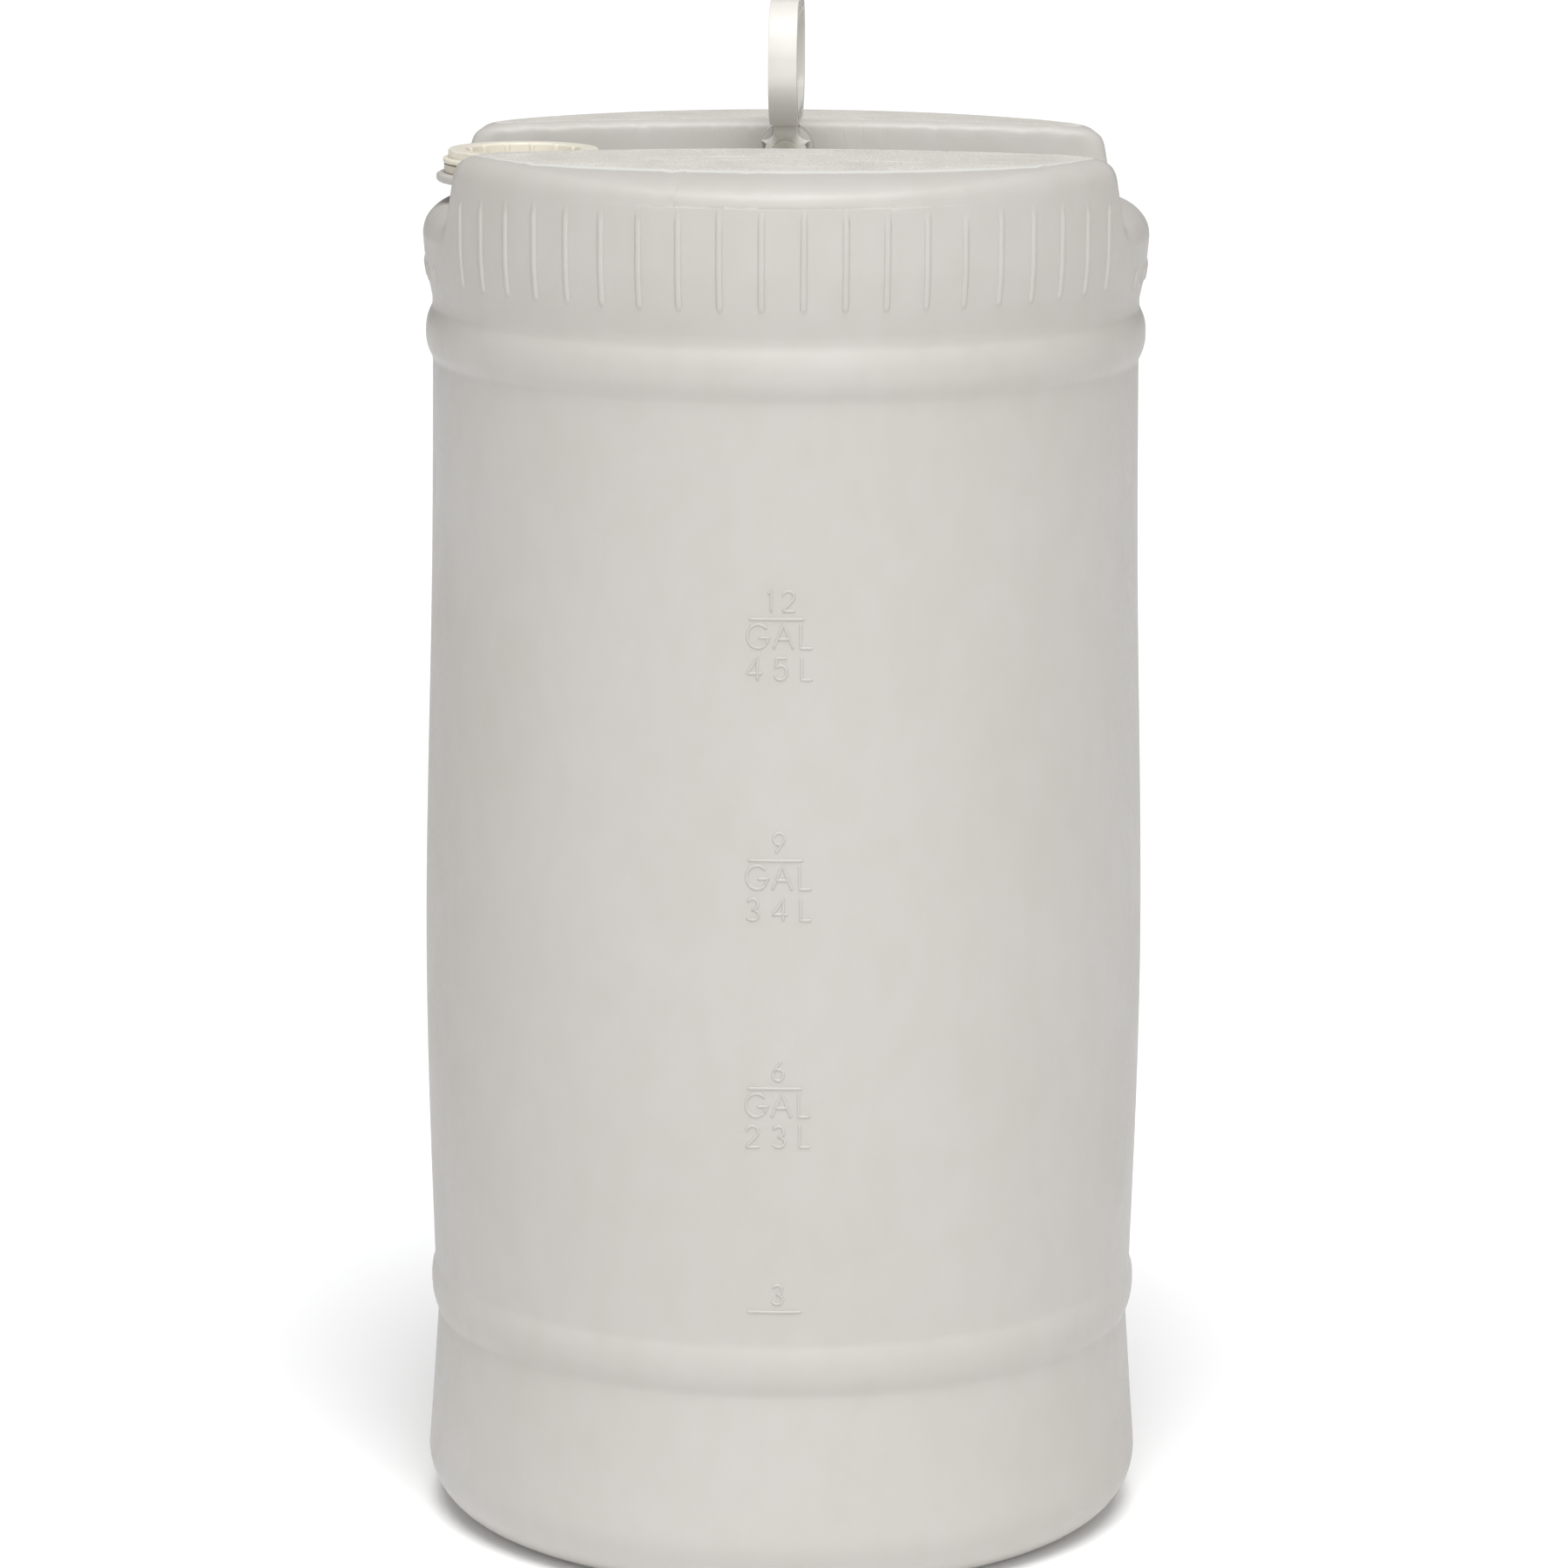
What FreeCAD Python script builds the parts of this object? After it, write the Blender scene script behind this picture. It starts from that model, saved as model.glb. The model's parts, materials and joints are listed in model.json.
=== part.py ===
import FreeCAD, Part
import math
import os

# A 57 litre closed-head fermenting drum, blow moulded in natural polyethylene.
# Two raised crescents stand on its head, with a channel between them that runs along X.
# In the channel are a threaded neck with its screw cap, and a lug with a fold-down handle.
# Millimetres, +Z up, origin at the centre of the base, on the floor.

V = FreeCAD.Vector
UP = V(0, 0, 1)
ORIGIN = V(0, 0, 0)

# ---- Drum shell ----
wall = 2.5
cut_past = 20.0               # how far cutting solids reach beyond the drum
foot_sunk = 1.5               # neck and lug start this far below the deck's surface
drum_r = 181.3                # widest radius, at the heel and at the belly
drum_h = 703.9                # floor to the crown of the head's dome, on the drum's axis
head_dome_r = 3850.0          # the crescents' tops lie on a dome of this radius
crescent_h = 34.1             # crown of the dome above the channel deck
deck_z = drum_h - crescent_h

heel_fillet = 30.0
base_recess_h = 5.0           # the middle of the base stands clear of the floor
base_recess_r = 108.0
foot_ring_r = 120.0           # inner edge of the flat ring that the drum stands on

waist_in = 5.2                # how far the waist beside each hoop lies inside drum_r
hoop_half_h = 12.5
hoop_proud = 3.4
hoop_top_proud = 1.7          # the lower hoop's upper edge, outside waist_r
heel_in = 1.9                 # the wall just above the heel, inside belly_r
belly_high_out = 1.3          # the belly three quarters of the way up, outside waist_r
band_foot_out = 2.5           # the flare under the top band, outside waist_r
band_foot_drop = 3.0          # the same point, below the band's middle
lower_hoop_z = 116.5
upper_hoop_z = deck_z - 64.3
belly_share = 0.36            # place of the belly, as a share of the way up the barrel

band_in = 0.7                 # top band, inside drum_r
shoulder_fillet = 16.0        # where the band turns in to the channel deck
band_top_z = deck_z - shoulder_fillet
band_foot_z = upper_hoop_z + hoop_half_h + 5.0

# ---- Crescents on the head ----
crescent_step = 0.2           # crescent wall, inside the band
crescent_corner_r = 14.0      # rounding of a crescent's ends, seen from above
end_fillet = 11.0             # rounded outer edge, tight near a crescent's ends
crown_w = 35.4                # and broad at the middle of its front
crown_h = 15.0
crown_slope = 2.3             # degrees, of the dome where the broad edge starts
crown_centre = 71.0           # the broad edge turns about a point this far past the axis
channel_half = 66.7           # half the channel's width at the deck
channel_draft = 6.0           # lean of the channel's walls, degrees
channel_foot_fillet = 8.0
channel_lip_fillet = 6.0
crown_over = 0.1              # the front edge starts this far above the dome
channel_overcut = 0.7         # the ends' prism, outside the channel's wall
blend_angle = 9.0             # the fillets stop this many degrees short of tangent

# ---- Ribs and graduations ----
rib_w = 4.0
rib_proud = 1.2
rib_pitch = 6.377             # degrees
rib_count = 20                # on each crescent
rib_low_z = deck_z - 33.8
rib_high_z = deck_z + 9.7
side_rib_count = 6            # on each side, between the crescents
side_rib_low_z = deck_z - 37.8
side_rib_high_z = deck_z - 28.3
mark_heights = (147.2, 259.7, 372.0, 488.9)   # 3, 6, 9 and 12 gallons
mark_w = 26.0
mark_h = 1.2
mark_proud = 0.6
mark_azimuth = -0.7           # degrees from the front, towards -X

# ---- Neck ----
neck_x = -130.6
neck_bore_r = 30.6
neck_wall = 2.8
neck_r = neck_bore_r + neck_wall
neck_h = 21.0                 # rim above the deck
neck_flange_out = 10.1
neck_flange_r = neck_r + neck_flange_out
neck_flange_z = deck_z + 9.0
neck_flange_t = 4.7
neck_flange_top = neck_flange_z + neck_flange_t
neck_top = deck_z + neck_h

thread_pitch = 3.0
thread_turns = 0.75           # length of the ridge on the neck and of the one in the cap
thread_depth = 1.6
thread_root_w = 1.3
thread_crest_w = 0.7
thread_gap = 0.5              # radial clearance between crest and root

# ---- Screw cap, gasket and tamper band ----
gasket_t = 1.4
gasket_w = 4.1
seat_gap = 0.05               # left on each side of the gasket
cap_web = 2.7                 # thickness of the cap's top ring
cap_skirt_wall = 2.0
cap_bore_r = neck_r + thread_depth + thread_gap
cap_r = cap_bore_r + cap_skirt_wall
cap_under_z = neck_top + gasket_t + 2 * seat_gap
cap_top_z = cap_under_z + cap_web
cap_grip_h = 4.3              # height of the gripped upper tier
cap_ledge_t = 2.2
cap_chamfer = 0.8             # both edges of the cap's top ring
cap_ledge_out = 2.6           # ledge beyond the grip
cap_tail_wall = 1.4           # skirt inside the tamper band
cap_tail_gap = 1.2            # skirt above the neck flange
cap_ledge_z = cap_top_z - cap_grip_h - cap_ledge_t
cap_tail_r = cap_bore_r + cap_tail_wall
cap_tail_z = neck_flange_top + cap_tail_gap
cap_thread_z = cap_tail_z + thread_root_w / 2 + 0.15
neck_thread_z = cap_thread_z + thread_pitch / 2
well_gap = 0.4                # plug of the cap inside the neck bore
well_wall = 1.8
well_depth = 12.5
well_floor = 2.0
well_draft = 1.2              # the plug's radius shrinks by this towards its floor
well_rib_count = 14
well_rib_w = 1.8
well_rib_proud = 1.1
well_rib_drop = 1.0           # ribs stop short of the rim
well_rib_start = 84.0         # azimuth of the first rib, degrees
band_gap = 0.4                # tamper band to skirt and to ledge
band_wall = 2.3

# ---- Handle and its pivot ----
pivot_h = 24.7                # pivot above the deck
pivot_z = deck_z + pivot_h
handle_skew = -2.0            # degrees about Z
lug_r = 13.7
lug_t = 12.0
lug_foot_out = 4.0            # the lug's foot flares out by this at the deck
lug_flare_h = 11.0            # height of the flare, below the folded ring's edge
cheek_gap = 0.6
cheek_t = 5.0
hub_r = 10.5
handle_neck_w = 12.0
ring_gap = 1.0                # ring to the top of the lug
ring_w = 100.0
ring_h = 61.8
ring_corner_r = 27.0
strap_w = 14.0
strap_t = 8.0
strap_edge = 1.8              # flanges of the strap's I section
strap_web = 3.6
brace_count = 36
brace_t = 1.3
brace_bite = 0.6              # share of the strap's edge that a brace starts inside
pin_r = 4.0
pin_lug_gap = 0.04
pin_cheek_gap = 0.08
pin_head_r = 6.6
pin_head_t = 2.2
pin_end_gap = 0.3             # head and retainer to the cheeks
pin_tip = 1.4                 # pin beyond the retainer
retainer_t = 1.6
retainer_groove = 0.6
retainer_gap = 0.06
retainer_nib = 0.6            # each side of the slot, where the ring snaps past the pin
ring_z = pivot_z + lug_r + ring_gap
cheek_in_y = lug_t / 2 + cheek_gap
cheek_out_y = cheek_in_y + cheek_t

OVERLAP = 0.5                 # how far fused pieces run into each other


class Outline:
    """A closed outline in (across, up), drawn edge by edge."""

    def __init__(self, a, b, place=lambda a, b: V(a, 0, b)):
        self.place = place
        self.start = self.here = (a, b)
        self.edges = []

    def line(self, a, b):
        if math.dist(self.here, (a, b)) > 1e-6:
            self.edges.append(Part.makeLine(self.place(*self.here), self.place(a, b)))
            self.here = (a, b)
        return self

    def arc(self, middle, end):
        points = [self.place(*p) for p in (self.here, middle, end)]
        self.edges.append(Part.Arc(*points).toShape())
        self.here = end
        return self

    def turn(self, centre, radius, angle_to):
        """An arc of under half a turn about a centre, to an angle in degrees."""
        a0 = math.degrees(math.atan2(self.here[1] - centre[1], self.here[0] - centre[0]))
        a0 += 360 * round((angle_to - a0) / 360)
        mid, end = [(centre[0] + radius * math.cos(math.radians(a)),
                     centre[1] + radius * math.sin(math.radians(a)))
                    for a in ((a0 + angle_to) / 2, angle_to)]
        return self.arc(mid, end)

    def curve(self, *points):
        curve = Part.BSplineCurve()
        curve.interpolate([self.place(*p) for p in (self.here,) + points])
        self.edges.append(curve.toShape())
        self.here = points[-1]
        return self

    def face(self):
        self.line(*self.start)
        return Part.Face(Part.Wire(self.edges))

    def revolve(self):
        return self.face().revolve(ORIGIN, UP, 360)


def ring(r_in, r_out, z_low, z_high):
    outer = Part.makeCylinder(r_out, z_high - z_low, V(0, 0, z_low))
    return outer.cut(Part.makeCylinder(r_in, z_high - z_low, V(0, 0, z_low)))


def only_solid(shape):
    """The one solid that a boolean leaves, with seams within its faces removed."""
    solids = shape.removeSplitter().Solids
    assert len(solids) == 1, "expected one solid, found %d" % len(solids)
    return solids[0]


# ---- Drum shell ----

def barrel(inset):
    """The drum up to the channel deck, without crescents, drawn in by inset."""
    belly_r = drum_r - inset
    waist_r = belly_r - waist_in
    band_r = belly_r - band_in
    corner_r = drum_r - heel_fillet
    lower, upper = lower_hoop_z + hoop_half_h, upper_hoop_z - hoop_half_h
    rise = upper - lower
    band_middle_z = (band_foot_z + band_top_z) / 2 - band_foot_drop
    outline = Outline(0, base_recess_h + inset)
    outline.line(base_recess_r, base_recess_h + inset)
    outline.line(foot_ring_r, inset)
    outline.line(corner_r, inset)
    outline.turn((corner_r, heel_fillet), heel_fillet - inset, 0)
    outline.curve((belly_r - heel_in, heel_fillet + 0.3 * (lower_hoop_z - heel_fillet)),
                  (waist_r, lower_hoop_z - hoop_half_h))
    outline.arc((waist_r + hoop_proud, lower_hoop_z), (waist_r + hoop_top_proud, lower))
    outline.curve((belly_r, lower + belly_share * rise),
                  (waist_r + belly_high_out, lower + 0.75 * rise),
                  (waist_r, upper))
    outline.arc((waist_r + hoop_proud, upper_hoop_z), (waist_r, upper_hoop_z + hoop_half_h))
    outline.line(waist_r, band_foot_z)
    outline.arc((waist_r + band_foot_out, band_middle_z), (band_r, band_top_z))
    outline.turn((band_r + inset - shoulder_fillet, band_top_z), shoulder_fillet - inset, 90)
    outline.line(0, deck_z - inset)
    return outline.revolve()


def dome_drop(r):
    """How far the dome of the head has fallen at a distance from the axis."""
    return head_dome_r - math.sqrt(head_dome_r ** 2 - r ** 2)


def domed_disc(inset, low_z):
    """A disc under the dome, with the tight fillet of the crescents' ends at its edge."""
    edge_r = drum_r - band_in - crescent_step
    corner_r = edge_r - end_fillet
    corner_z = drum_h - dome_drop(corner_r) - end_fillet
    fillet = end_fillet - inset
    disc = Outline(0, low_z)
    disc.line(edge_r - inset, low_z).line(edge_r - inset, corner_z)
    disc.turn((corner_r, corner_z), fillet, 90)
    disc.arc((corner_r / 2, drum_h - dome_drop(corner_r / 2) - inset), (0, drum_h - inset))
    return disc.revolve()


def crown_disc(inset, low_z):
    """The broad rounded front edge, turned about a point past the axis."""
    rim_r = drum_r - band_in - crescent_step + crown_centre
    start_r = rim_r - crown_w
    top_z = drum_h - dome_drop(start_r - crown_centre) + crown_over
    foot_z = top_z - crown_h
    shares = (0.3, 0.6, 0.85, 0.97)
    disc = Outline(0, low_z)
    disc.line(rim_r - inset, low_z).line(rim_r - inset, foot_z)
    disc.curve(*[(start_r + (crown_w - inset) * math.sqrt(1 - share ** 2),
                  foot_z + (crown_h - inset) * share) for share in shares],
               (start_r, top_z - inset))
    disc.line(0, top_z - inset + start_r * math.tan(math.radians(crown_slope)))
    solid = disc.revolve()
    solid.translate(V(0, crown_centre, 0))
    return solid


def end_prism(inset, low_z):
    """An upright prism that rounds the crescent's two ends, seen from above."""
    edge_r = drum_r - band_in - crescent_step
    chord_y = channel_half - channel_overcut
    centre_y = chord_y + crescent_corner_r
    centre_x = math.sqrt((edge_r - crescent_corner_r) ** 2 - centre_y ** 2)
    corner_r = crescent_corner_r - inset
    meet = math.degrees(math.atan2(-centre_y, centre_x))
    plan = Outline(-centre_x, -chord_y - inset, lambda x, y: V(x, y, low_z))
    plan.line(centre_x, -chord_y - inset)
    plan.turn((centre_x, -centre_y), corner_r, meet)
    plan.arc((0, inset - edge_r), (-plan.here[0], plan.here[1]))
    plan.turn((-centre_x, -centre_y), corner_r, 90)
    return plan.face().extrude(V(0, 0, drum_h + cut_past - low_z))


def channel_side(inset, low_z):
    """Everything on the crescent's side of the channel's leaning wall."""
    lean = math.radians(channel_draft)
    foot_y = channel_half - channel_foot_fillet * (1 - math.sin(lean)) / math.cos(lean)
    foot_z = deck_z + channel_foot_fillet
    foot_r = channel_foot_fillet + inset
    lip_z = drum_h - dome_drop(channel_half) - channel_lip_fillet
    lip_rise = (lip_z - deck_z) * math.sin(lean)
    lip_y = channel_half + (channel_lip_fillet + lip_rise) / math.cos(lean)
    lip_r = channel_lip_fillet - inset
    start = math.radians(blend_angle - 90)
    start_y = foot_y + foot_r * math.cos(start)
    beyond = drum_r + cut_past
    under_z = low_z - cut_past / 4
    over_z = drum_h + cut_past
    side = Outline(start_y, under_z, lambda y, z: V(-beyond, -y, z))
    side.line(start_y, foot_z + foot_r * math.sin(start))
    side.turn((foot_y, foot_z), foot_r, -channel_draft)
    side.line(lip_y - lip_r * math.cos(lean), lip_z + lip_r * math.sin(lean))
    side.turn((lip_y, lip_z), lip_r, 90 + blend_angle)
    run = cut_past / 2
    side.line(side.here[0] + run, side.here[1] + run * math.tan(math.radians(blend_angle)))
    side.line(side.here[0], over_z).line(beyond, over_z).line(beyond, under_z)
    return side.face().extrude(V(2 * beyond, 0, 0))


def crescent(inset):
    """The front crescent: what its dome, its two edges, its ends and its wall leave."""
    low_z = band_top_z + 1.0
    solid = domed_disc(inset, low_z).common(crown_disc(inset, low_z - 1))
    foot = channel_side(inset, low_z)
    ends = end_prism(inset, low_z - 1)
    return solid.common(foot).common(ends)


def drum_form(inset):
    """The whole moulded outer form, or with an inset the form of its inside."""
    front = crescent(inset)
    back = front.copy()
    back.rotate(ORIGIN, UP, 180)
    return barrel(inset).fuse([front, back])


def upright_bar(width, z_low, z_high, azimuth, round_ends=True):
    """A bar across the drum wall at an azimuth, measured from the front towards +X."""
    half = width / 2
    out = Outline(-half, z_low + half, lambda x, z: V(x, 0, z))
    if round_ends:
        out.arc((0, z_low), (half, z_low + half)).line(half, z_high - half)
        out.arc((0, z_high), (-half, z_high - half))
    else:
        out = Outline(-half, z_low, lambda x, z: V(x, 0, z))
        out.line(half, z_low).line(half, z_high).line(-half, z_high)
    bar = out.face().extrude(V(0, -1.5 * cut_past, 0))
    bar.translate(V(0, cut_past - drum_r, 0))
    bar.rotate(ORIGIN, UP, azimuth)
    return bar


def centred(count, pitch):
    return [(i - (count - 1) / 2) * pitch for i in range(count)]


def wall_ribs():
    crescents = [a + turn for turn in (0, 180) for a in centred(rib_count, rib_pitch)]
    sides = [a + turn for turn in (90, 270) for a in centred(side_rib_count, rib_pitch)]
    bars = [upright_bar(rib_w, rib_low_z, rib_high_z, a) for a in crescents]
    bars += [upright_bar(rib_w, side_rib_low_z, side_rib_high_z, a) for a in sides]
    return drum_form(-rib_proud).common(Part.makeCompound(bars)).Solids


def graduation_lines():
    bars = [upright_bar(mark_w, z - mark_h / 2, z + mark_h / 2, mark_azimuth, False)
            for z in mark_heights]
    return barrel(-mark_proud).common(Part.makeCompound(bars)).Solids


def thread(r_base, r_crest, z_low):
    """One helical ridge that stands on r_base and reaches r_crest, about Z."""
    inward = r_crest < r_base
    r_sunk = r_base + (OVERLAP if inward else -OVERLAP)
    root, crest = thread_root_w / 2, thread_crest_w / 2
    section = Outline(r_sunk, -root)
    section.line(r_base, -root).line(r_crest, -crest)
    section.line(r_crest, crest).line(r_base, root).line(r_sunk, root)
    section.line(*section.start)
    path = Part.Wire(Part.makeHelix(thread_pitch, thread_pitch * thread_turns, r_base))
    ridge = path.makePipeShell([Part.Wire(section.edges)], True, True)
    ridge.translate(V(0, 0, z_low))
    return ridge


def neck():
    """Neck, flange and thread about Z, before they move to neck_x."""
    tube = Part.makeCylinder(neck_r, neck_top - deck_z + foot_sunk, V(0, 0, deck_z - foot_sunk))
    flange = Part.makeCylinder(neck_flange_r, neck_flange_t, V(0, 0, neck_flange_z))
    rims = [e for e in flange.Edges if abs(e.Length - 2 * math.pi * neck_flange_r) < 0.1]
    flange = flange.makeFillet(0.3 * neck_flange_t, rims)
    ridge = thread(neck_r, neck_r + thread_depth, neck_thread_z)
    return tube.fuse([flange, ridge])


def skewed(shape):
    """Turn a piece of the handle or its pivot from square to the angle of the lug."""
    shape.rotate(ORIGIN, UP, handle_skew)
    return shape


def disc_y(radius, y_low, y_high):
    """A disc about the handle's pivot, between two places along Y."""
    return Part.makeCylinder(radius, y_high - y_low, V(0, y_low, pivot_z), V(0, 1, 0))


def lug():
    foot = lug_r + lug_foot_out
    foot_z = deck_z - foot_sunk
    side = Outline(-foot, foot_z, lambda x, z: V(x, -lug_t / 2, z))
    side.line(foot, foot_z).line(foot, deck_z)
    side.curve((lug_r + lug_foot_out / 5, deck_z + lug_flare_h / 2), (lug_r, deck_z + lug_flare_h))
    side.line(lug_r, pivot_z).arc((0, pivot_z + lug_r), (-lug_r, pivot_z))
    side.line(-lug_r, deck_z + lug_flare_h)
    side.curve((-lug_r - lug_foot_out / 5, deck_z + lug_flare_h / 2), (-foot, deck_z))
    block = side.face().extrude(V(0, lug_t, 0))
    return skewed(block.cut(disc_y(pin_r + pin_lug_gap, -lug_t, lug_t)))


def drum_body():
    spout = neck()
    bore_low_z = deck_z - 3 * wall
    bore = Part.makeCylinder(neck_bore_r, neck_top + cut_past / 4 - bore_low_z, V(0, 0, bore_low_z))
    for shape in (spout, bore):
        shape.translate(V(neck_x, 0, 0))
    solid = drum_form(0).fuse(wall_ribs() + graduation_lines() + [spout, lug()])
    return only_solid(solid.cut(drum_form(wall)).cut(bore))


# ---- Cap, gasket and tamper band ----

def screw_cap():
    """The cap: gripped skirt, ledge, thread, and a recess that plugs the neck.

    Its ridge follows the neck's helix half a pitch below, so it stays in mesh as the cap
    turns anticlockwise and rises by one pitch a turn.
    """
    plug_r = neck_bore_r - well_gap
    well_r = plug_r - well_wall
    floor_z = cap_top_z - well_depth
    ledge_r = cap_r + cap_ledge_out
    outline = Outline(0, floor_z)
    outline.line(well_r - well_draft, floor_z).line(well_r, cap_top_z - cap_chamfer)
    outline.line(well_r + cap_chamfer, cap_top_z).line(cap_r - cap_chamfer, cap_top_z)
    outline.line(cap_r, cap_top_z - cap_chamfer).line(cap_r, cap_ledge_z + cap_ledge_t)
    outline.line(ledge_r, cap_ledge_z + cap_ledge_t).line(ledge_r, cap_ledge_z)
    outline.line(cap_tail_r, cap_ledge_z).line(cap_tail_r, cap_tail_z)
    outline.line(cap_bore_r, cap_tail_z).line(cap_bore_r, cap_under_z)
    outline.line(plug_r, cap_under_z)
    outline.line(plug_r - well_draft, floor_z - well_floor).line(0, floor_z - well_floor)

    pieces = [thread(cap_bore_r, neck_r + thread_gap, cap_thread_z)]
    rib_top = cap_top_z - well_rib_drop
    for i in range(well_rib_count):
        rib = Part.makeBox(well_rib_proud + well_draft + OVERLAP, well_rib_w,
                           rib_top - floor_z + OVERLAP,
                           V(well_r - well_draft - well_rib_proud, -well_rib_w / 2,
                             floor_z - OVERLAP))
        rib.rotate(ORIGIN, UP, well_rib_start + i * 360 / well_rib_count)
        pieces.append(rib)
    cap = only_solid(outline.revolve().fuse(pieces))
    cap.translate(V(neck_x, 0, 0))
    return cap


def cap_gasket():
    low = neck_top + seat_gap
    r_out = cap_bore_r - thread_gap
    seal = ring(r_out - gasket_w, r_out, low, low + gasket_t)
    seal.translate(V(neck_x, 0, 0))
    return seal


def tamper_band():
    r_in = cap_tail_r + band_gap
    band = ring(r_in, r_in + band_wall, neck_flange_top, cap_ledge_z - band_gap)
    band.translate(V(neck_x, 0, 0))
    return band


# ---- Handle ----

def rounded_loop(shrink, x):
    """The ring's oval outline in the YZ plane at x, drawn in by shrink."""
    half = ring_w / 2 - shrink
    low, high = ring_z + shrink, ring_z + ring_h - shrink
    radius = ring_corner_r - shrink
    loop = Outline(half, low + radius, lambda y, z: V(x, y, z))
    for cy, cz, y, z, angle in (
            (half - radius, high - radius, half, high - radius, 90),
            (radius - half, high - radius, radius - half, high, 180),
            (radius - half, low + radius, -half, low + radius, 270),
            (half - radius, low + radius, half - radius, low, 0)):
        loop.line(y, z)
        loop.turn((cy, cz), radius, angle)
    return Part.Wire(loop.edges)


def loop_band(outer_shrink, inner_shrink, x_low, x_high):
    outer = Part.Face(rounded_loop(outer_shrink, x_low)).extrude(V(x_high - x_low, 0, 0))
    inner = Part.Face(rounded_loop(inner_shrink, x_low)).extrude(V(x_high - x_low, 0, 0))
    return outer.cut(inner)


def braces(x_low, x_high):
    """Zigzag braces across the pocket of the strap."""
    outer = rounded_loop(strap_edge * brace_bite, x_low).discretize(brace_count + 1)
    inner = rounded_loop(strap_t - strap_edge * brace_bite, x_low).discretize(brace_count + 1)
    bars = []
    for i in range(brace_count):
        a, b = (outer[i], inner[i + 1]) if i % 2 else (inner[i], outer[i + 1])
        along = (b - a).normalize()
        across = along.cross(V(1, 0, 0)) * (brace_t / 2)
        corners = [a - across, b - across, b + across, a + across]
        wire = Part.makePolygon(corners + corners[:1])
        bars.append(Part.Face(wire).extrude(V(x_high - x_low, 0, 0)))
    return bars


def handle():
    strap = loop_band(0, strap_t, -strap_w / 2, strap_w / 2)
    for x_low, x_high in ((strap_web / 2, strap_w / 2), (-strap_w / 2, -strap_web / 2)):
        pocket = loop_band(strap_edge, strap_t - strap_edge, x_low, x_high)
        strap = strap.cut(pocket.cut(braces(x_low, x_high)))
    pieces = []
    for y_low in (cheek_in_y, -cheek_out_y):
        neck_low = V(-handle_neck_w / 2, y_low, pivot_z)
        neck_high = ring_z + strap_edge
        pieces.append(disc_y(hub_r, y_low, y_low + cheek_t))
        pieces.append(Part.makeBox(handle_neck_w, cheek_t, neck_high - pivot_z, neck_low))
    bore = disc_y(pin_r + pin_cheek_gap, -cheek_out_y - 1, cheek_out_y + 1)
    return skewed(only_solid(strap.fuse(pieces).cut(bore)))


def handle_pin():
    head_y = -cheek_out_y - pin_end_gap
    groove_y = cheek_out_y + pin_end_gap
    end_y = groove_y + retainer_t + pin_tip
    shaft = disc_y(pin_r, head_y - 0.5, end_y)
    head = disc_y(pin_head_r, head_y - pin_head_t, head_y)
    rim = [e for e in head.Edges if e.BoundBox.YMax < head_y - pin_head_t + 0.01]
    head = head.makeFillet(0.35 * pin_head_t, rim[:1])
    collar = disc_y(pin_r + 1, groove_y - retainer_gap, groove_y + retainer_t + retainer_gap)
    groove = collar.cut(disc_y(pin_r - retainer_groove, groove_y - 1, end_y))
    return skewed(only_solid(shaft.fuse(head).cut(groove)))


def pin_retainer():
    """A split push-on ring in the groove at the end of the pin."""
    low = cheek_out_y + pin_end_gap
    washer = disc_y(pin_head_r, low, low + retainer_t)
    bore_r = pin_r - retainer_groove + retainer_gap
    slot = Part.makeBox(2 * bore_r - 2 * retainer_nib, retainer_t, 2 * pin_head_r,
                        V(-bore_r + retainer_nib, low, pivot_z - 2 * pin_head_r))
    return skewed(only_solid(washer.cut(disc_y(bore_r, low, low + retainer_t)).cut(slot)))


PIECES = {
    "drum_body": drum_body,
    "screw_cap": screw_cap,
    "cap_gasket": cap_gasket,
    "tamper_band": tamper_band,
    "handle": handle,
    "handle_pin": handle_pin,
    "pin_retainer": pin_retainer,
}

os.makedirs("parts", exist_ok=True)
for name, make in PIECES.items():
    shape = make()
    assert shape.isValid(), name
    shape.exportStep("parts/%s.step" % name)
    box = shape.BoundBox
    print("%-14s volume %9.0f  x %7.1f %7.1f  y %7.1f %7.1f  z %7.1f %7.1f" % (
        name, shape.Volume, box.XMin, box.XMax, box.YMin, box.YMax, box.ZMin, box.ZMax))
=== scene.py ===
import json
import math

import bmesh
import bpy
import numpy as np
from mathutils import Matrix, Vector


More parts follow.
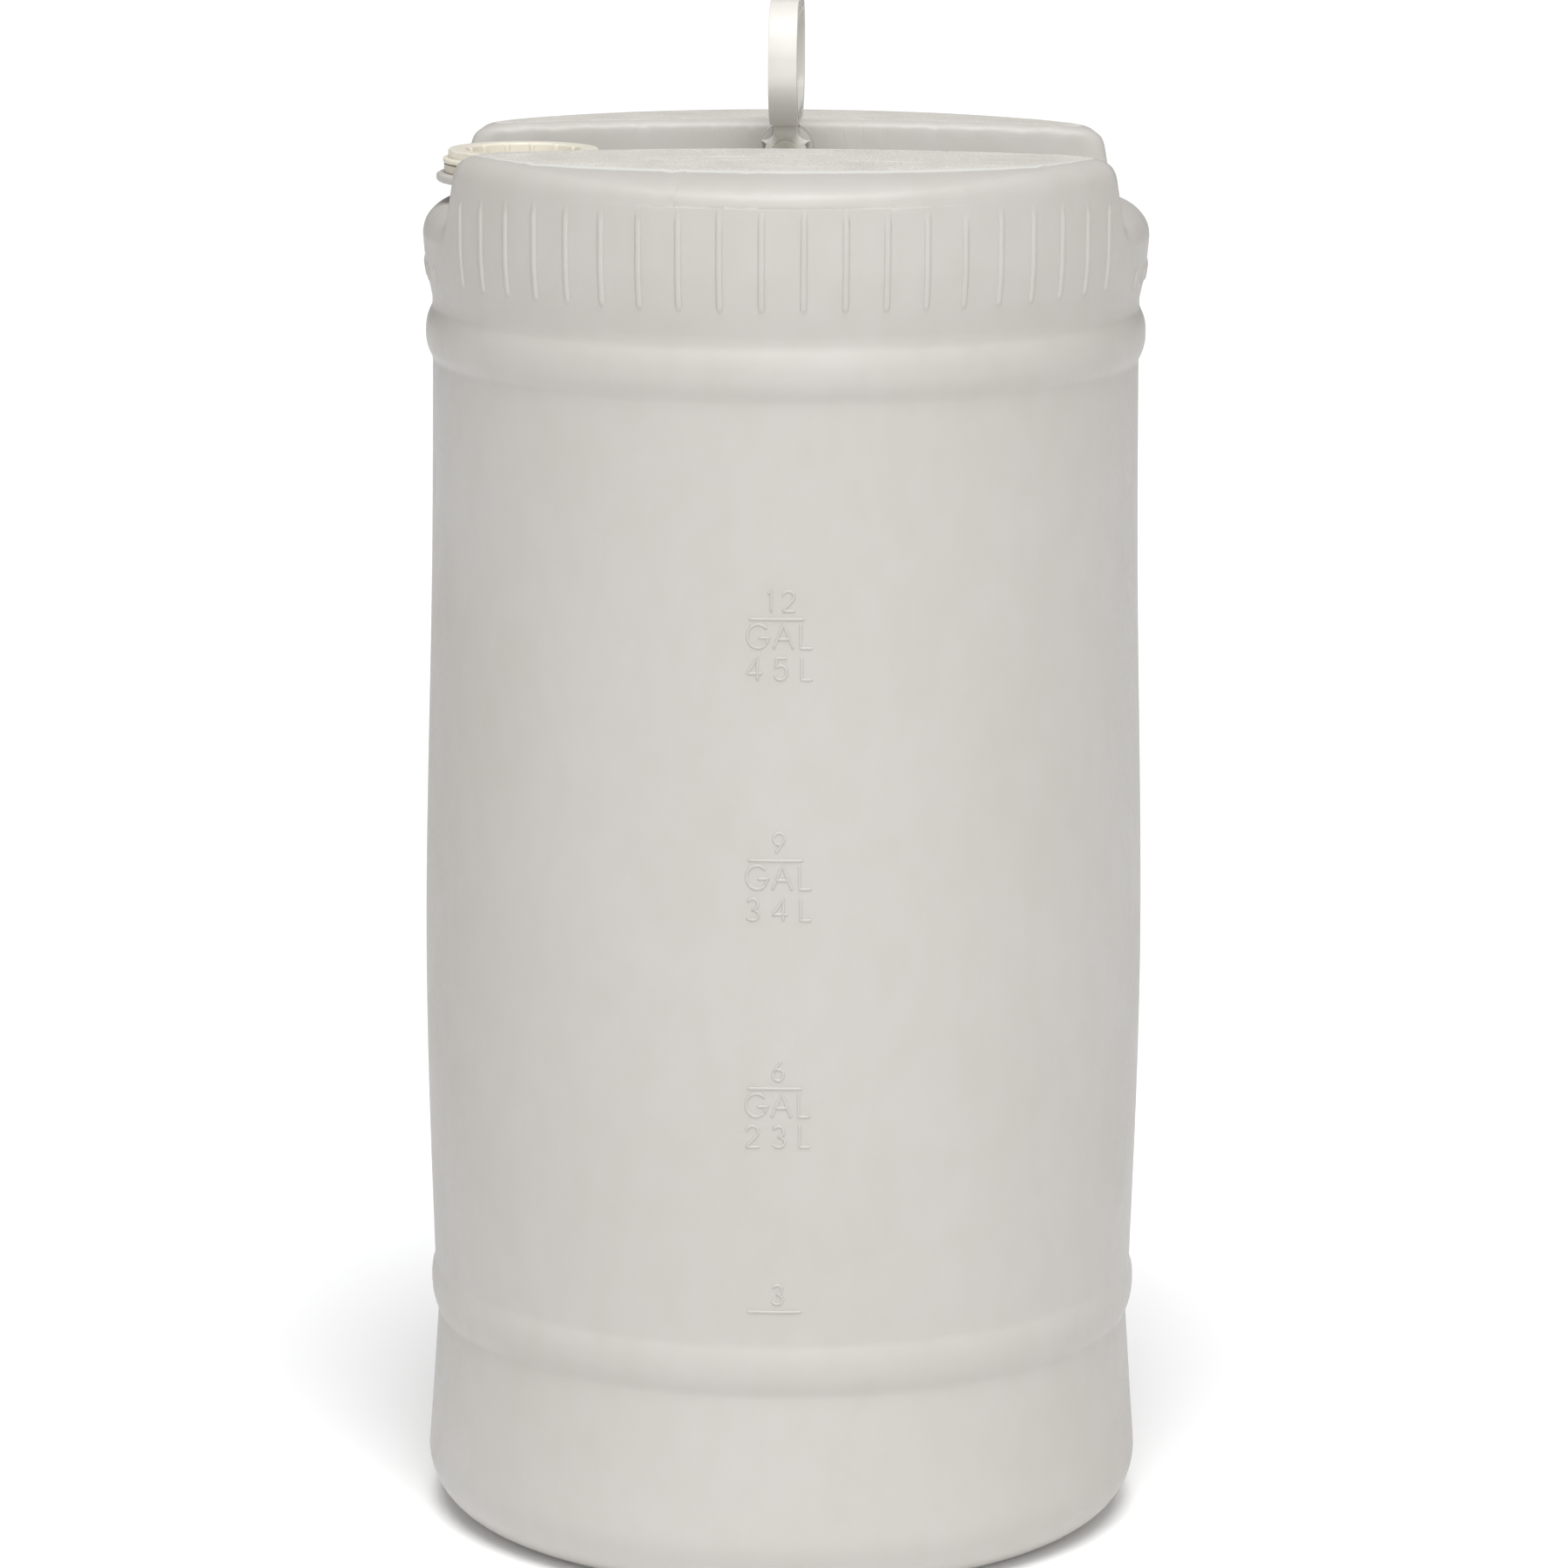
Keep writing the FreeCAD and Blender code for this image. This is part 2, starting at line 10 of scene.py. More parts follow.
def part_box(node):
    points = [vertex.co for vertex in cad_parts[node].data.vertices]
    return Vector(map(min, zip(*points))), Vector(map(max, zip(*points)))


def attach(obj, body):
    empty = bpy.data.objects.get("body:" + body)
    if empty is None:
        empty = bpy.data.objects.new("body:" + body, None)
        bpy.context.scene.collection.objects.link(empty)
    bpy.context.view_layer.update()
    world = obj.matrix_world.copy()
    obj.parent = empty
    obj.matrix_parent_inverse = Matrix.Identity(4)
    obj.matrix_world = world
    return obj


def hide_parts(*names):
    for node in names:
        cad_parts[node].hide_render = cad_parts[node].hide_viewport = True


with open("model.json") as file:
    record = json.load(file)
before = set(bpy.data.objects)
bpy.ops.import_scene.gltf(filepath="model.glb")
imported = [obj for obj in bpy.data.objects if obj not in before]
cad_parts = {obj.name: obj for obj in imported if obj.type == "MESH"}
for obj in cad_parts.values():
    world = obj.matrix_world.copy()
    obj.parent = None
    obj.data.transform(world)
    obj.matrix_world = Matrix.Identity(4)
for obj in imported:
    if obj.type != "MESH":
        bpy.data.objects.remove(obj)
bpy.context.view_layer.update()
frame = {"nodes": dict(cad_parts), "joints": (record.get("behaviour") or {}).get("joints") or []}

# Shapes are worked out in millimetres, in the row frame, and stored in metres.
MM = 0.001


def box_mm(node):
    low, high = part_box(node)
    return [v / MM for v in low], [v / MM for v in high]


# ---- Sizes taken from the frame ----
cap_top = box_mm("screw_cap")[1][2]
ring_top = box_mm("handle")[1][2]
band_low, band_high = box_mm("tamper_band")
joints = {j["name"]: j for j in frame["joints"]}
pivot_z = joints["handle_fold"]["pos_m"][2] / MM
skew = math.atan2(-joints["handle_fold"]["axis"][0], joints["handle_fold"]["axis"][1])
cap_x = joints["cap_turn"]["pos_m"][0] / MM

# ---- Drum shell, millimetres ----
drum_r = 181.3                    # widest radius, at the heel and the belly
drum_h = 703.9                    # crown of the head's dome, on the axis
dome_r = 3850.0                   # radius of the dome that the crescents' tops lie on
wall = 2.5
deck_z = drum_h - 34.1
heel_fillet = 30.0
base_profile = [(0.0, 5.0), (70.0, 5.0), (106.0, 5.0), (109.0, 4.6), (119.0, 0.4), (122.0, 0.0),
                (136.0, 0.0)]     # the shallow recess under the base, as (r, z)
waist_r = drum_r - 5.2
heel_knot = (56.0, drum_r - 1.9)  # a height on the wall above the heel, and the radius there
lower_hoop_z = 116.5
upper_hoop_z = deck_z - 64.3
hoop_half = 12.5
hoop_proud = 3.4
hoop_power = 2.3                  # how full the hoops' section is
lower_hoop_top_r = waist_r + 1.7
belly_share = 0.36                # of the way up between the hoops
high_share = 0.75
high_r = waist_r + 1.3
edge_r = drum_r - 0.7             # top band and crescents
shoulder = 16.0
band_top_z = deck_z - shoulder
band_foot_z = upper_hoop_z + hoop_half + 5.0
band_knot = ((band_foot_z + band_top_z) / 2 - 3, waist_r + 2.5)
wall_step = 0.25                  # spacing of the heights at which the wall is worked out
soften = 0.9                      # the wall's corners are blurred over about this height
soften_steps = 16
end_edge = (10.0, 12.0)           # width and height of the rounded edge near a crescent's ends
front_edge = (35.4, 15.0)         # and of the broad edge at the middle of its front
front_centre = 71.0               # the broad edge turns about a point this far past the axis
edge_blend = 2.5
channel_half = 66.7
channel_lean = math.tan(math.radians(6.0))
foot_fillet = 8.0
lip_fillet = 6.0
corner_r = (9, 11, 16)            # a crescent's corner in plan: least, just above the deck, most
corner_growth = 0.3               # and how much it grows for each millimetre up
front_ribs = 20
side_ribs = 6
rib_pitch = 6.377                 # degrees
rib_proud = 1.0
rib_half = 1.6
rib_columns = (-2.6, -1.64, -1.5, -1.1, 0, 1.1, 1.5, 1.64, 2.6)   # across a rib
rib_z = (deck_z - 33.8, deck_z + 11.2)
rib_arch = 3.2                    # the ribs rib_arch_at degrees from the front are this much shorter
rib_arch_at = 60
side_rib_z = (deck_z - 37.8, deck_z - 28.3)
seam_proud = 0.15
seam_half = 0.9
seam_low_z = 14


# ---------------------------------------------------------------- mesh helpers

def finish_mesh(name, points, faces, smooth_angle=38.0):
    """A mesh object from points in millimetres. Edges sharper than the angle stay sharp."""
    mesh = bpy.data.meshes.new(name)
    mesh.from_pydata((np.asarray(points, float) * MM).tolist(), [], faces)
    mesh.validate()
    bm = bmesh.new()
    bm.from_mesh(mesh)
    bmesh.ops.remove_doubles(bm, verts=bm.verts, dist=1e-7)
    bmesh.ops.dissolve_degenerate(bm, edges=bm.edges, dist=1e-8)
    bmesh.ops.recalc_face_normals(bm, faces=bm.faces)
    limit = math.radians(smooth_angle)
    for face in bm.faces:
        face.smooth = True
    for edge in bm.edges:
        edge.smooth = len(edge.link_faces) == 2 and edge.calc_face_angle(0.0) < limit
    bm.to_mesh(mesh)
    bm.free()
    obj = bpy.data.objects.new(name, mesh)
    bpy.context.collection.objects.link(obj)
    return obj


def grid_faces(rows, cols, wrap_rows=False, wrap_cols=True, first=0):
    """Quads over a grid of points that is numbered row by row."""
    r = np.arange(rows if wrap_rows else rows - 1)[:, None]
    c = np.arange(cols if wrap_cols else cols - 1)[None, :]
    r2, c2 = (r + 1) % rows, (c + 1) % cols
    quads = np.stack([r * cols + c, r * cols + c2, r2 * cols + c2, r2 * cols + c], -1)
    return (quads.reshape(-1, 4) + first).tolist()


def lathe(name, profile, cols=192, reshape=None, closed=False, smooth_angle=38.0):
    """Turns a profile of (r, z) points about Z. reshape moves points by (angle, r, z, row)."""
    angle = np.linspace(0, 2 * np.pi, cols, endpoint=False)
    r = np.repeat(np.array([p[0] for p in profile], float)[:, None], cols, 1)
    z = np.repeat(np.array([p[1] for p in profile], float)[:, None], cols, 1)
    if reshape:
        r, z = reshape(angle[None, :], r, z)
    points = np.stack([r * np.cos(angle), r * np.sin(angle), z], -1).reshape(-1, 3)
    faces = grid_faces(len(profile), cols, wrap_rows=closed)
    return finish_mesh(name, points, faces, smooth_angle)


def rounded(points, radius, steps=4, closed=True):
    """A polygon's points with each corner rounded off by up to the radius."""
    out = []
    n = len(points)
    for i, p in enumerate(points):
        if not closed and i in (0, n - 1):
            out.append(tuple(p))
            continue
        p = np.array(p, float)
        a = np.array(points[i - 1], float) - p
        b = np.array(points[(i + 1) % n], float) - p
        la, lb = np.linalg.norm(a), np.linalg.norm(b)
        a, b = a / la, b / lb
        turn = math.pi - math.acos(max(-1.0, min(1.0, float(a @ b))))
        cut = min(radius * math.tan(turn / 2), 0.45 * la, 0.45 * lb)
        if cut < 1e-3:
            out.append(tuple(p))
            continue
        start, end = p + a * cut, p + b * cut
        for k in range(steps + 1):
            t = k / steps
            out.append(tuple((1 - t) ** 2 * start + 2 * t * (1 - t) * p + t * t * end))
    return out


def moved(obj, matrix):
    obj.data.transform(matrix)
    return obj


def slid(x):
    return Matrix.Translation((x * MM, 0, 0))


def joined(name, objects):
    """One object from several. Each keeps its own closed surface."""
    bm = bmesh.new()
    for o in objects:
        bm.from_mesh(o.data)
    mesh = bpy.data.meshes.new(name)
    bm.to_mesh(mesh)
    bm.free()
    for o in objects:
        old = o.data
        bpy.data.objects.remove(o)
        bpy.data.meshes.remove(old)
    obj = bpy.data.objects.new(name, mesh)
    bpy.context.collection.objects.link(obj)
    return obj


def place(obj, body, slot, material, *nodes):
    obj.data.materials.clear()
    obj.data.materials.append(material)
    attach(obj, body)
    if nodes:
        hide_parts(*nodes)
    return obj


# ---------------------------------------------------------------- materials

class Nodes:
    """A short way to write a node material. Every texture reads object coordinates."""

    def __init__(self, name, **principled):
        self.material = bpy.data.materials.new(name)
        self.material.use_nodes = True
        self.tree = self.material.node_tree
        self.shader = self.tree.nodes["Principled BSDF"]
        for key, value in principled.items():
            self.shader.inputs[key.replace("_", " ")].default_value = value
        self.where = self.tree.nodes.new("ShaderNodeTexCoord").outputs["Object"]

    def link(self, out, socket):
        self.tree.links.new(out, socket)

    def node(self, kind, inputs=(), **settings):
        made = self.tree.nodes.new("ShaderNode" + kind)
        for key, value in settings.items():
            setattr(made, key, value)
        for key, value in dict(inputs).items():
            if hasattr(value, "is_output"):
                self.link(value, made.inputs[key])
            else:
                made.inputs[key].default_value = value
        return made

    def noise(self, scale, detail=3.0, stretch=(1, 1, 1), rough=0.5):
        spot = self.node("Mapping", {"Vector": self.where, "Scale": stretch})
        return self.node("TexNoise", {"Vector": spot.outputs[0], "Scale": scale,
                                      "Detail": detail, "Roughness": rough}).outputs["Fac"]

    def ramp(self, value, low, high, to_low=0.0, to_high=1.0):
        return self.node("MapRange", {"Value": value, "From Min": low, "From Max": high,
                                      "To Min": to_low, "To Max": to_high},
                         interpolation_type="SMOOTHSTEP").outputs["Result"]

    def maths(self, kind, a, b=0.0):
        return self.node("Math", {0: a, 1: b}, operation=kind).outputs[0]

    def mix(self, share, a, b):
        made = self.node("Mix", data_type="RGBA")
        for socket, value in ((made.inputs[0], share), (made.inputs[6], a), (made.inputs[7], b)):
            if hasattr(value, "is_output"):
                self.link(value, socket)
            else:
                socket.default_value = value
        return made.outputs[2]

    def bump(self, height, depth_mm, normal=None):
        inputs = {"Height": height, "Strength": 1.0, "Distance": depth_mm * MM}
        if normal is not None:
            inputs["Normal"] = normal
        return self.node("Bump", inputs).outputs["Normal"]

    def use(self, **sockets):
        for key, out in sockets.items():
            self.link(out, self.shader.inputs[key.replace("_", " ")])
        return self.material


def rgb(r, g, b):
    """A colour given as the eye reads it, 0 to 255, in the shader's linear values."""
    def linear(v):
        v /= 255
        return v / 12.92 if v <= 0.04045 else ((v + 0.055) / 1.055) ** 2.4
    return (linear(r), linear(g), linear(b), 1.0)


def milky_plastic(name, tint, dark, subsurface=0.25, gloss=0.40):
    """Natural polyethylene: milky, a little uneven, with a fine moulded skin."""
    m = Nodes(name, Subsurface_Weight=subsurface, Subsurface_Scale=0.004,
              Subsurface_Radius=(1.0, 0.93, 0.80), IOR=1.45, Specular_IOR_Level=0.4)
    clouds = m.noise(9.0, 4.0)
    fine = m.noise(260.0, 3.0)
    mottle = m.noise(70.0, 3.0, (1.0, 1.0, 0.6))
    shade = m.maths("ADD", m.ramp(clouds, 0.3, 0.7, 0.0, 0.6), m.ramp(mottle, 0.35, 0.7, 0.0, 0.4))
    colour = m.mix(shade, tint, dark)
    roughness = m.maths("ADD", m.ramp(fine, 0.3, 0.7, gloss - 0.03, gloss + 0.05),
                        m.ramp(clouds, 0.35, 0.7, 0.0, 0.06))
    skin = m.bump(fine, 0.05)
    waves = m.bump(m.noise(22.0, 1.0), 0.5, skin)
    return m, colour, roughness, waves, fine, clouds


def drum_material():
    """The shell: milky plastic, with rubbed and scratched tops on the crescents and a painted
    highlight where those tops turn into their rounded edges.
    """
    m, colour, roughness, normal, fine, clouds = milky_plastic(
        "natural_polyethylene", rgb(190, 187, 183), rgb(186, 182, 176), 0.15)
    # Wear shows only near the dome's crown, where the surface is nearly level.
    split = m.node("SeparateXYZ", {"Vector": m.where})
    facing = m.node("SeparateXYZ", {"Vector": m.node("NewGeometry").outputs["Normal"]})
    high = m.ramp(split.outputs["Z"], (drum_h - 6.5) * MM, (drum_h - 5.5) * MM)
    flat = m.ramp(facing.outputs["Z"], 0.982, 0.994)
    top = m.maths("MULTIPLY", high, flat)
    # Fine grain, and scratches drawn out along one direction.
    grain = m.noise(900.0, 2.0)
    turned = m.node("Mapping", {"Vector": m.where, "Rotation": (0, 0, math.radians(38)),
                                "Scale": (14.0, 420.0, 1.0)})
    scratch = m.node("TexNoise", {"Vector": turned.outputs[0], "Scale": 1.0,
                                  "Detail": 4.0, "Roughness": 0.6}).outputs["Fac"]
    worn = m.maths("MULTIPLY", top, m.ramp(m.noise(45.0, 5.0, rough=0.7), 0.25, 0.6, 0.45, 1.0))
    speckle = m.mix(m.ramp(grain, 0.4, 0.62), rgb(196, 191, 183), rgb(214, 211, 205))
    speckle = m.mix(m.ramp(scratch, 0.58, 0.70), speckle, rgb(226, 225, 221))
    colour = m.mix(worn, colour, speckle)
    # A painted highlight: a paler line painted where the level top turns into the rounded edge, in
    # place of the light that edge catches.
    border = m.maths("MULTIPLY", m.ramp(facing.outputs["Z"], 0.974, 0.983),
                     m.ramp(facing.outputs["Z"], 0.993, 0.984))
    colour = m.mix(m.maths("MULTIPLY", m.maths("MULTIPLY", border, high), 0.7), colour,
                   rgb(226, 226, 222))
    rough = m.maths("ADD", roughness, m.maths("MULTIPLY", worn, 0.25))
    marks = m.maths("MULTIPLY", m.maths("ADD", scratch, grain), worn)
    return m.use(Base_Color=colour, Roughness=rough, Normal=m.bump(marks, 0.12, normal))


def plain_plastic(name, tint, dark, subsurface, gloss):
    m, colour, roughness, normal, *_ = milky_plastic(name, tint, dark, subsurface, gloss)
    return m.use(Base_Color=colour, Roughness=roughness, Normal=normal)


def floor_material():
    m = Nodes("studio_floor", Roughness=0.7, Specular_IOR_Level=0.2,
              Emission_Color=(1.0, 1.0, 1.0, 1.0), Emission_Strength=0.06)
    colour = m.mix(m.ramp(m.noise(3.0, 3.0), 0.3, 0.7), rgb(253, 253, 253), rgb(251, 251, 251))
    return m.use(Base_Color=colour)


# ---------------------------------------------------------------- the drum shell

def natural_curve(knots):
    """A cubic through (z, r) knots with free ends, as a function of z."""
    x, y = (np.array(v, float) for v in zip(*knots))
    n = len(x)
    h = np.diff(x)
    a = np.eye(n)
    b = np.zeros(n)
    for i in range(1, n - 1):
        a[i, i - 1:i + 2] = h[i - 1], 2 * (h[i - 1] + h[i]), h[i]
        b[i] = 3 * ((y[i + 1] - y[i]) / h[i] - (y[i] - y[i - 1]) / h[i - 1])
    c = np.linalg.solve(a, b)

    def at(z):
        i = np.clip(np.searchsorted(x, z) - 1, 0, n - 2)
        t = z - x[i]
        slope = (y[i + 1] - y[i]) / h[i] - h[i] * (2 * c[i] + c[i + 1]) / 3
        return y[i] + t * (slope + t * (c[i] + t * (c[i + 1] - c[i]) / (3 * h[i])))
    return at


def wall_radius():
    """The shell's outer radius from the heel to the band's top, softened, as a function."""
    lower, upper = lower_hoop_z + hoop_half, upper_hoop_z - hoop_half
    rise = upper - lower
    heel = natural_curve([(heel_fillet, drum_r), heel_knot, (lower_hoop_z - hoop_half, waist_r)])
    barrel = natural_curve([(lower, lower_hoop_top_r), (lower + belly_share * rise, drum_r),
                            (lower + high_share * rise, high_r), (upper, waist_r)])
    band = natural_curve([(band_foot_z, waist_r), band_knot, (band_top_z, edge_r)])

    def bead(z, centre, ends):
        t = (z - centre) / hoop_half
        chord = ends[0] + (ends[1] - ends[0]) * (t + 1) / 2
        full = np.clip(1 - np.abs(t) ** hoop_power, 0, 1)
        return chord + (waist_r + hoop_proud - sum(ends) / 2) * full

    z = np.arange(heel_fillet, band_top_z + wall_step, wall_step)
    r = np.select(
        [z < lower_hoop_z - hoop_half, z < lower, z < upper, z < upper_hoop_z + hoop_half,
         z < band_foot_z],
        [heel(z), bead(z, lower_hoop_z, (waist_r, lower_hoop_top_r)), barrel(z),
         bead(z, upper_hoop_z, (waist_r, waist_r)), np.full_like(z, waist_r)], band(z))
    reach = np.arange(-soften_steps, soften_steps + 1) * wall_step
    kernel = np.exp(-0.5 * (reach / soften) ** 2)
    padded = np.pad(r, soften_steps, mode="edge")
    soft = np.convolve(padded, kernel / kernel.sum(), mode="valid")
    return lambda h: np.interp(h, z, soft)


def edge_in(height, size):
    """How far an elliptical edge has drawn in at a height above its foot."""
    width, tall = size
    share = np.clip(height / tall, 0, 1)
    return width * (1 - np.sqrt(1 - share ** 2))


def head_height(x, y, inset):
    """Height of the head over a point: deck, shoulder and the two crescents."""
    r = np.hypot(x, y)
    rim = edge_r - inset
    arc = shoulder - inset
    fall = np.clip(r - (edge_r - shoulder), 0, arc)
    deck = deck_z - inset - arc + np.sqrt(arc ** 2 - fall ** 2)
    drop = r ** 2 / (2 * dome_r)
    crown = drum_h - inset
    broad_r = np.hypot(x, np.abs(y) + front_centre) - front_centre

    # Halve the height between a place surely inside the head and its crown, down to the surface.
    search_down, halvings = 25, 26
    low, high = np.full_like(r, band_top_z - search_down), crown - drop
    for _ in range(halvings):
        z = (low + high) / 2
        up = z + drop
        tight = r - rim + edge_in(up - crown + end_edge[1], end_edge)
        broad = broad_r - rim + edge_in(up - crown + front_edge[1], front_edge)
        blend = edge_blend * np.exp(-np.abs(tight - broad) / edge_blend) / 2
        a = np.maximum(tight, broad) + blend * (up > crown - front_edge[1])
        side = channel_half + inset + (z - deck_z) * channel_lean
        side = side + edge_in(up - crown + lip_fillet, (lip_fillet, lip_fillet))
        side = side - edge_in(foot_fillet - (z - deck), (foot_fillet, foot_fillet))
        b = side - np.abs(y)
        corner = np.clip(corner_r[1] + corner_growth * (z - deck_z - 2), corner_r[0], corner_r[2])
        outside = np.minimum(np.maximum(a, b), -corner) + np.hypot(np.maximum(a + corner, 0),
                                                                  np.maximum(b + corner, 0))
        low = np.where(outside <= 0, z, low)
        high = np.where(outside <= 0, high, z)
    return np.maximum(low, deck)


def centred(count):
    """Places one apart, with their middle at zero."""
    return np.arange(count) - (count - 1) / 2


def column_angles():
    """Azimuths from the front, close together across each rib and at the crescents' ends."""
    ribs = [i * rib_pitch for i in centred(front_ribs)]
    sides = [90 + i * rib_pitch for i in centred(side_ribs)]
    across = np.degrees(np.array(rib_columns) / edge_r)
    plain_columns = 21
    half_turn = []
    for centre in ribs + sides:
        half_turn += list(centre + across)
        half_turn.append(centre + rib_pitch / 2)
    start, end = ribs[-1] + rib_pitch / 2, sides[0] - across[-1] - 0.3
    steps = np.linspace(0, 1, plain_columns + 1)[1:]
    half_turn += list(start + (end - start) * steps)
    half_turn += list(180 - (start + (end - start) * steps))
    half_turn.append(ribs[0] - rib_pitch / 2)
    half_turn = np.unique(np.round(np.array(half_turn) % 180, 5))
    return np.radians(np.concatenate([half_turn, half_turn + 180]))


def rib_height(azimuth, z):
    """How proud the ribs and the parting line stand at a place on the wall."""
    turn = np.degrees(azimuth) % 180
    turn = np.where(turn > 90, turn - 180, turn)
    out = np.zeros(np.broadcast(turn, z).shape)
    for centres, base, (low, high) in ((centred(front_ribs) * rib_pitch, 0.0, rib_z),
                                       (centred(side_ribs) * rib_pitch, 90.0, side_rib_z)):
        local = turn - base if base == 0 else np.where(turn < 0, turn + 180, turn) - base
        nearest = centres[np.abs(local[..., None] - centres).argmin(-1)]
        u = np.radians(local - nearest) * edge_r
        end = high - rib_arch * (nearest / rib_arch_at) ** 2 if base == 0 else high
        v = np.maximum(np.maximum(low + rib_half - z, z - end + rib_half), 0)
        d = np.hypot(u, v) / rib_half
        out = np.maximum(out, rib_proud * np.sqrt(np.clip(1 - d ** 2, 0, 1)))
    seam = np.radians(np.abs(np.abs(turn) - 90)) * edge_r
    line = seam_proud * np.clip(1 - (seam / seam_half) ** 2, 0, 1)
    return np.maximum(out, np.where(z > seam_low_z, line, 0))


def drum_skin(azimuth, inset, rows_head, wall_z):
    """One skin of the shell, from the middle of the base to the middle of the head."""
    radius_at = wall_radius()
    rim = edge_r - inset
    heel_rows, border_rows, top_rows, side_rows = 12, 150, 130, 40
    heel = [(drum_r - heel_fillet + (heel_fillet - inset) * math.sin(a),
             heel_fillet - (heel_fillet - inset) * math.cos(a))
            for a in np.linspace(0, math.pi / 2, heel_rows)]
    profile = [(r, z + inset) for r, z in base_profile] + heel
    profile += [(float(radius_at(z)) - inset, z) for z in wall_z]
    r = np.repeat(np.array([p[0] for p in profile])[:, None], len(azimuth), 1)
    z = np.repeat(np.array([p[1] for p in profile])[:, None], len(azimuth), 1)

    # Radii at which a line from the rim to the middle reads the head, closest by the rim.
    turn = np.radians(np.linspace(90, 0, border_rows))
    border = front_edge[0] + 8
    arc = rim - border + border * np.sin(turn)
    r_line = np.concatenate([arc, np.linspace(arc[-1], 0, top_rows)[1:]])
    x, y = np.sin(azimuth)[:, None] * r_line, -np.cos(azimuth)[:, None] * r_line
    z_line = head_height(x, y, inset)
    start_z = wall_z[-1]
    r_head = np.zeros((rows_head, len(azimuth)))
    z_head = np.zeros((rows_head, len(azimuth)))
    # Rows are shared out along each line by length, with more of them where it bends.
    bend_share, bend_most = 22, 0.3
    for i in range(len(azimuth)):
        up = np.linspace(start_z, z_line[i, 0], side_rows)[:-1]
        line_r = np.concatenate([radius_at(np.minimum(up, band_top_z)) - inset, r_line])
        line_z = np.concatenate([up, z_line[i]])
        dr, dz = np.diff(line_r), np.diff(line_z)
        length = np.hypot(dr, dz)
        turn = np.abs(np.diff(np.unwrap(np.arctan2(dz, dr))))
        weight = length.copy()
        weight[1:] += bend_share * np.minimum(turn, bend_most)
        place_at = np.concatenate([[0], np.cumsum(weight)])
        want = np.linspace(0, place_at[-1], rows_head + 1)[1:]
        r_head[:, i] = np.interp(want, place_at, line_r)
        z_head[:, i] = np.interp(want, place_at, line_z)
    r, z = np.concatenate([r, r_head]), np.concatenate([z, z_head])
    if inset == 0:
        rib_least_r, rib_least_z = 150, 20
        on_wall = (r > rib_least_r) & (z > rib_least_z)
        r = r + np.where(on_wall, rib_height(azimuth[None, :], z), 0)
    return np.stack([np.sin(azimuth) * r, -np.cos(azimuth) * r, z], -1)


def drum_shell():
    azimuth = column_angles()
    hoop_step, rib_end_step, rib_step = 1.6, 0.9, 2.5
    outer_rows, inner_rows, smooth_angle = 96, 34, 50.0
    lower_hoop = np.arange(lower_hoop_z - hoop_half - 2, lower_hoop_z + hoop_half + 3, hoop_step)
    upper_hoop = np.arange(upper_hoop_z - hoop_half - 2, upper_hoop_z + hoop_half + 7, hoop_step)
    wall_z = np.concatenate([np.linspace(36, 98, 8), lower_hoop, np.linspace(138, 584, 24),
                             upper_hoop, np.arange(side_rib_z[0] - 1.5, rib_z[0] + 4, rib_end_step),
                             np.arange(rib_z[0] + 5, band_top_z - 4, rib_step)])
    outer = drum_skin(azimuth, 0.0, outer_rows, np.unique(wall_z))
    inner = drum_skin(azimuth, wall, inner_rows, np.concatenate(
        [np.linspace(40, 100, 4), lower_hoop[::3], np.linspace(150, 570, 6), upper_hoop[::3],
         [band_foot_z + 8, band_foot_z + 20]]))
    points, faces = [], []
    for skin in (outer, inner):
        faces += grid_faces(skin.shape[0], skin.shape[1], first=sum(len(p) for p in points))
        points.append(skin.reshape(-1, 3))
    return finish_mesh("drum_shell", np.concatenate(points), faces, smooth_angle)


# ---------------------------------------------------------------- neck, lug and graduations

neck_bore = 30.6
neck_r = 33.4
neck_fillet = 4.0
neck_low_z = deck_z - wall - 0.5
neck_rim_z = deck_z + 21.0
flange_r = 43.5
flange_z = (deck_z + 9.0, deck_z + 13.7)
thread_pitch = 3.0
thread_depth = 1.6
thread_sunk = 0.5


def helix_ridge(name, r_base, r_crest, z_start, turns=0.75, root=0.65, crest=0.35, steps=96):
    """One thread ridge, sunk a little into its wall, that tapers to nothing at both ends."""
    sunk = r_base + (thread_sunk if r_crest < r_base else -thread_sunk)
    taper, corners = 12, 6
    points = []
    for i in range(steps + 1):
        t = i / steps
        a = 2 * math.pi * turns * t
        grow = min(1.0, taper * t, taper * (1 - t)) ** 0.5 if 0 < t < 1 else 0.02
        tip = r_base + (r_crest - r_base) * grow
        for r, dz in ((sunk, -root), (r_base, -root), (tip, -crest), (tip, crest),
                      (r_base, root), (sunk, root)):
            points.append((r * math.cos(a), r * math.sin(a), z_start + thread_pitch * turns * t + dz))
    faces = grid_faces(steps + 1, corners)
    last = corners * steps
    faces += [list(range(corners))[::-1], list(range(last, last + corners))]
    return finish_mesh(name, points, faces)


